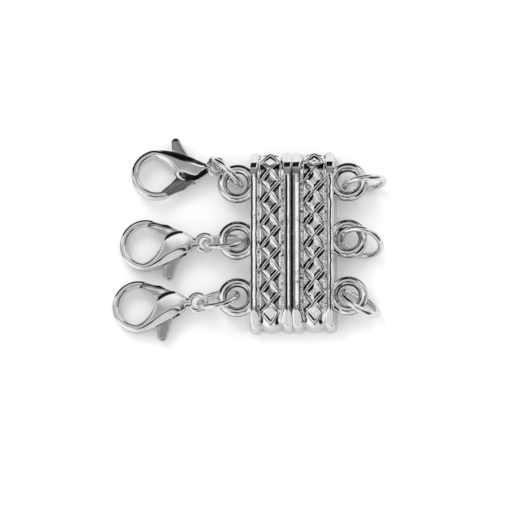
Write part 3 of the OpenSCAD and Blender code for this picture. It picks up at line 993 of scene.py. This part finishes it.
# Moves a point onto the shape's edge, or to a level inside it
def settle(shape, x, y, level=0.0, rounds=3):
    for _ in range(rounds):
        gx, gy = gradient(shape, x, y)
        away = shape(x, y) - level
        x, y = x - gx * away, y - gy * away
    return x, y


# Walks once round a shape's edge
def outline(shape, start, step):
    x, y = settle(shape, *start)
    first = (x, y)
    made = [first]
    for k in range(2000):
        gx, gy = gradient(shape, x, y)
        x, y = settle(shape, x - gy * step, y + gx * step)
        if k > 10 and hypot(x - first[0], y - first[1]) < step * 0.9:
            break
        made.append((x, y))
    return made


def prism(name, points, low, high):
    count = len(points)
    made = [(x, y, low) for x, y in points] + [(x, y, high) for x, y in points]
    faces = [tuple(reversed(range(count))), tuple(range(count, 2 * count))]
    faces += [(k, (k + 1) % count, count + (k + 1) % count, count + k) for k in range(count)]
    return meshObject(name, made, faces)


def cylinder(name, centre, radius, half, count=40):
    turns = [2 * pi * k / count for k in range(count)]
    circle = [(centre[0] + radius * cos(a), centre[1] + radius * sin(a)) for a in turns]
    return prism(name, circle, -half, half)


def torus(name, radius, wire, around=88, about=24):
    points, faces = [], []
    for k in range(around):
        a = 2 * pi * k / around
        for j in range(about):
            b = 2 * pi * j / about
            r = radius + wire * cos(b)
            points.append((r * cos(a), r * sin(a), wire * sin(b)))
            here, ahead, up = k * about, (k + 1) % around * about, (j + 1) % about
            faces.append((here + j, ahead + j, ahead + up, here + up))
    return meshObject(name, points, faces)


def cut(obj, tool, operation):
    modifier = obj.modifiers.new("cut", "BOOLEAN")
    modifier.solver = "EXACT"
    modifier.operation = operation
    modifier.object = tool
    applied(obj)
    bpy.data.objects.remove(tool)


def claspBody(frontGrow):
    hook = [hookStation(k / clasp["hookRows"]) for k in range(clasp["hookRows"] + 1)]
    points, faces = loft([claspRing(row, frontGrow) for row in spline(hook + belly, 5)])
    body = meshObject("claspBody", points, faces)
    bm = bmesh.new()
    bm.from_mesh(body.data)
    bmesh.ops.recalc_face_normals(bm, faces=bm.faces)
    bm.to_mesh(body.data)
    bm.free()
    half = clasp["slotHeight"] / 2
    cut(body, torus("claspEye", clasp["eyeRadius"], clasp["eyeWire"]), "UNION")
    cut(body, prism("leverSlot", slotOutline, -half, half), "DIFFERENCE")
    cut(body, cylinder("pinHole", clasp["pivot"], clasp["pinHole"], clasp["pinReach"]), "DIFFERENCE")
    tones = []
    # Painted dark reflections along both edges of the face that the upper clasp shows, as of a dark room
    # that it mirrors
    for vertex in body.data.vertices:
        x = vertex.co.x / mm
        across, up = vertex.normal.y, vertex.normal.z
        back = smooth(0.2, 0.34, -across) * smooth(-8.6, -7.6, x)
        front = smooth(0.14, 0.26, across) * smooth(-5.5, -5.2, x)
        facing = smooth(0.15, 0.3, -up) * (1 - smooth(-1.7, -1.3, x))
        tones.append(max(back, front) * facing if frontGrow else 0.0)
    paintShade(body, tones)
    return body


def claspLever():
    half = lever["thick"] / 2
    r = lever["round"]
    edge = outline(leverDistance, (-5.35, -6.2), 0.07)
    low, high = [], []
    for inset, rise in lever["rounding"]:
        drawn = [settle(leverDistance, x, y, -r * inset, 2) for x, y in edge] if inset else edge
        low.append([(x, y, -half + rise * r) for x, y in drawn])
        high.insert(0, [(x, y, half - rise * r) for x, y in drawn])
    points, faces = loft(low + high)
    # The gate's faces slope, more on the lower side
    (ax, ay, _), (bx, by, _) = lever["limbs"][lever["gate"]]
    length = hypot(bx - ax, by - ay)
    under, over = (tan(radians(angle)) for angle in lever["gateTilt"])
    tilted = []
    for x, y, z in points:
        outside = ((x - ax) * (by - ay) - (y - ay) * (bx - ax)) / length + 0.9
        fall = clamp(outside, 0.0, 1.9) * smooth(-5.0, -6.2, x)
        tilted.append((x, y, z - fall * under if z > 0 else z + fall * over))
    made = meshObject("claspLever", tilted, faces)
    cut(made, cylinder("leverPinHole", clasp["pivot"], lever["pinHole"], 1.0), "DIFFERENCE")
    # Painted shade: black on the lower face in the clasp's frame where y is above -1.4, lighter painted
    # shade towards the low-y end
    tones = []
    for vertex in made.data.vertices:
        _, y, z = vertex.co / mm
        tones.append(1.0 if z < -0.1 and y > -1.4 else 0.35 * smooth(-2.2, -3.0, y))
    paintShade(made, tones)
    return made


slotOutline = slotEdge()
masters = {name: claspBody(grow) for name, grow in clasp["frontGrow"].items()}
leverMaster = claspLever()
clasps = {}
for name, spot in claspPlaces.items():
    turn = Euler((radians(spot["roll"]), radians(-spot["slope"]), radians(spot["turn"])))
    matrix = Matrix.Translation(Vector(spot["at"]) * mm) @ turn.to_matrix().to_4x4()
    body = masters["upper" if name == "upper" else "others"]
    for kind, master, finish in (("Body", body, "claspPlating"), ("Lever", leverMaster, "leverPlating")):
        obj = bpy.data.objects.new(f"clasp{kind}{name.capitalize()}", master.data.copy())
        scene.collection.objects.link(obj)
        obj.data.transform(matrix)
        finishMesh(obj, materials[finish], 32)
        clasps[kind, name] = obj
for master in (*masters.values(), leverMaster):
    bpy.data.objects.remove(master)
print("clasps made")

# Each piece stands for its node and moves with that node's body
for side, half, loops in (("left", barLeft, loopsLeft), ("right", barRight, loopsRight)):
    for piece in (half, loops):
        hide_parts(f"bar_{side}")
        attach(piece, f"{side}_half")
for name, piece in jumpRings.items():
    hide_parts(f"jump_ring_{name}")
    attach(piece, name.split("_")[0] + "_half")
for (kind, name), piece in clasps.items():
    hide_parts(f"clasp_{kind.lower()}_{name}")
    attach(piece, "left_half" if kind == "Body" else f"lever_{name}")
for node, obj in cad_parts.items():
    if node.startswith(("magnet", "clasp_pin")):
        material = materials["magnetNickel" if node.startswith("magnet") else "pinSteel"]
        for slot in obj.material_slots:
            slot.material = material

# Table, light and camera
studio = {
    "floorSize": 2000.0,
    "floorCells": 8,
    "floorDrop": 0.004,
    "floorTones": ((0.93, 0.93, 0.93), (0.96, 0.96, 0.965)),
    "floorMirrored": (0.74, 0.74, 0.74),
    "keyPower": 0.7,
    "keyPlace": (-0.25, 0.3, 0.45),
    "keySize": 0.25,
    "worldColor": (0.97, 0.975, 0.98, 1),
    "worldFill": 1.15,
    "walls": 0.7,
    # What the metal mirrors. Angle round the part from and to, angle down from the top, tone, softness
    "cards": [
        (-30, 35, 25, 55, 0.2, 4),
        (-30, 28, 50, 98, 0.25, 4),
        (38, 66, 44, 98, 1.05, 2),
        (-60, -14, 36, 98, 0.012, 4),
        (70, 150, 32, 98, 0.01, 2),
        (60, 130, 28, 34, 0.2, 2),
        (192, 258, 34, 98, 0.98, 4),
        (158, 192, 52, 84, 0.3, 4),
        (-86, -50, 16, 33, 0.01, 2.5),
        (-130, -86, 16, 46, 0.01, 2.5)],
    # Strips overhead: angle sideways from and to, angle towards the north, tone, softness
    "strips": [
        (-30, 36, -4, 10, 0.42, 2),
        (-30, 48, 22, 34, 0.38, 1.5),
        (-60, 62, 13, 19.5, 1.0, 1.5)],
}


def tableTop():
    half = studio["floorSize"] / 2
    count = studio["floorCells"]
    steps = [-half + 2 * half * k / count for k in range(count + 1)]
    points = [(x, y, -studio["floorDrop"]) for y in steps for x in steps]
    faces = [(a, a + 1, a + count + 2, a + count + 1)
             for b in range(count) for a in range(b * (count + 1), b * (count + 1) + count)]
    obj = meshObject("tableTop", points, faces)
    material = bpy.data.materials.new("whiteCard")
    material.use_nodes = True
    n = Nodes(material.node_tree)
    shader = material.node_tree.nodes["Principled BSDF"]
    shader.inputs["Roughness"].default_value = 0.75
    tone = n.noise(n.add("ShaderNodeTexCoord").outputs["Object"], 25.0, 3)
    # Painted reflection: the card is darker where the metal mirrors it
    path = n.add("ShaderNodeLightPath").outputs["Is Glossy Ray"]
    card = n.mixColor(path, n.mixColor(tone, *studio["floorTones"]), studio["floorMirrored"])
    n.join(card, shader.inputs["Base Color"])
    obj.data.materials.append(material)


def studioWorld():
    world = bpy.data.worlds.new("studio")
    scene.world = world
    world.use_nodes = True
    n = Nodes(world.node_tree)
    for node in list(world.node_tree.nodes):
        world.node_tree.nodes.remove(node)
    split = n.add("ShaderNodeSeparateXYZ")
    n.join(n.add("ShaderNodeTexCoord").outputs["Generated"], split.inputs[0])
    x, y, z = split.outputs

    def angle(operation, *values):
        return n.math("MULTIPLY", n.math(operation, *values), 180 / pi)

    around = angle("ARCTAN2", y, x)
    down = n.math("SUBTRACT", 90.0, angle("ARCSINE", z))
    sideways = angle("ARCTAN2", x, z)
    north = angle("ARCSINE", y)

    def within(value, low, high, soft):
        middle, half = (low + high) / 2, (high - low) / 2
        off = n.math("SUBTRACT", value, middle)
        if value is around:
            off = n.math("WRAP", off, -180.0, 180.0)
        return n.mapRange(n.math("ABSOLUTE", off), half - soft, half + soft, 1.0, 0.0)

    base = n.add("ShaderNodeValue")
    base.outputs[0].default_value = studio["walls"]
    value = base.outputs[0]
    rows = [(around, down, *row) for row in studio["cards"]]
    rows += [(sideways, north, *row) for row in studio["strips"]]
    for first, second, low, high, start, end, tone, soft in rows:
        mask = n.math("MULTIPLY", within(first, low, high, soft), within(second, start, end, soft))
        value = n.make("ShaderNodeMix", {0: mask, 2: value, 3: tone}, data_type="FLOAT")
    mirror = n.make("ShaderNodeBackground", {"Color": value})
    plain = n.make("ShaderNodeBackground", {"Color": studio["worldColor"], "Strength": studio["worldFill"]})
    glossy = n.add("ShaderNodeLightPath").outputs["Is Glossy Ray"]
    both = n.make("ShaderNodeMixShader", {0: glossy, 1: plain, 2: mirror})
    n.join(both, n.add("ShaderNodeOutputWorld").inputs[0])


def keyLight():
    data = bpy.data.lights.new("keyLight", "AREA")
    data.shape = "RECTANGLE"
    data.size = data.size_y = studio["keySize"]
    data.energy = studio["keyPower"]
    obj = bpy.data.objects.new("keyLight", data)
    scene.collection.objects.link(obj)
    obj.location = studio["keyPlace"]
    obj.rotation_mode = "QUATERNION"
    obj.rotation_quaternion = (-Vector(studio["keyPlace"])).to_track_quat("-Z", "Y")
    obj.visible_glossy = False


camera = {
    "view": (0.0558, -0.2756, 0.9597),
    "distance": 1.0,
    "frameWidth": 83.15,
    "centre": (-4.646, -3.102),
    "sensor": 36,
    "clip": (0.05, 20),
}


def photoCamera():
    v = Vector(camera["view"]).normalized()
    u = (Vector((0, 1, 0)) - v * v.y).normalized()
    r = u.cross(v)
    data = bpy.data.cameras.new("camera")
    data.sensor_width = camera["sensor"]
    data.lens = camera["sensor"] * camera["distance"] / (camera["frameWidth"] * mm)
    data.clip_start, data.clip_end = camera["clip"]
    obj = bpy.data.objects.new("camera", data)
    scene.collection.objects.link(obj)
    spot = (r * camera["centre"][0] + u * camera["centre"][1]) * mm + v * camera["distance"]
    obj.matrix_world = Matrix.Translation(spot) @ Matrix((r, u, v)).transposed().to_4x4()
    scene.camera = obj


tableTop()
studioWorld()
keyLight()
photoCamera()
print("studio made")
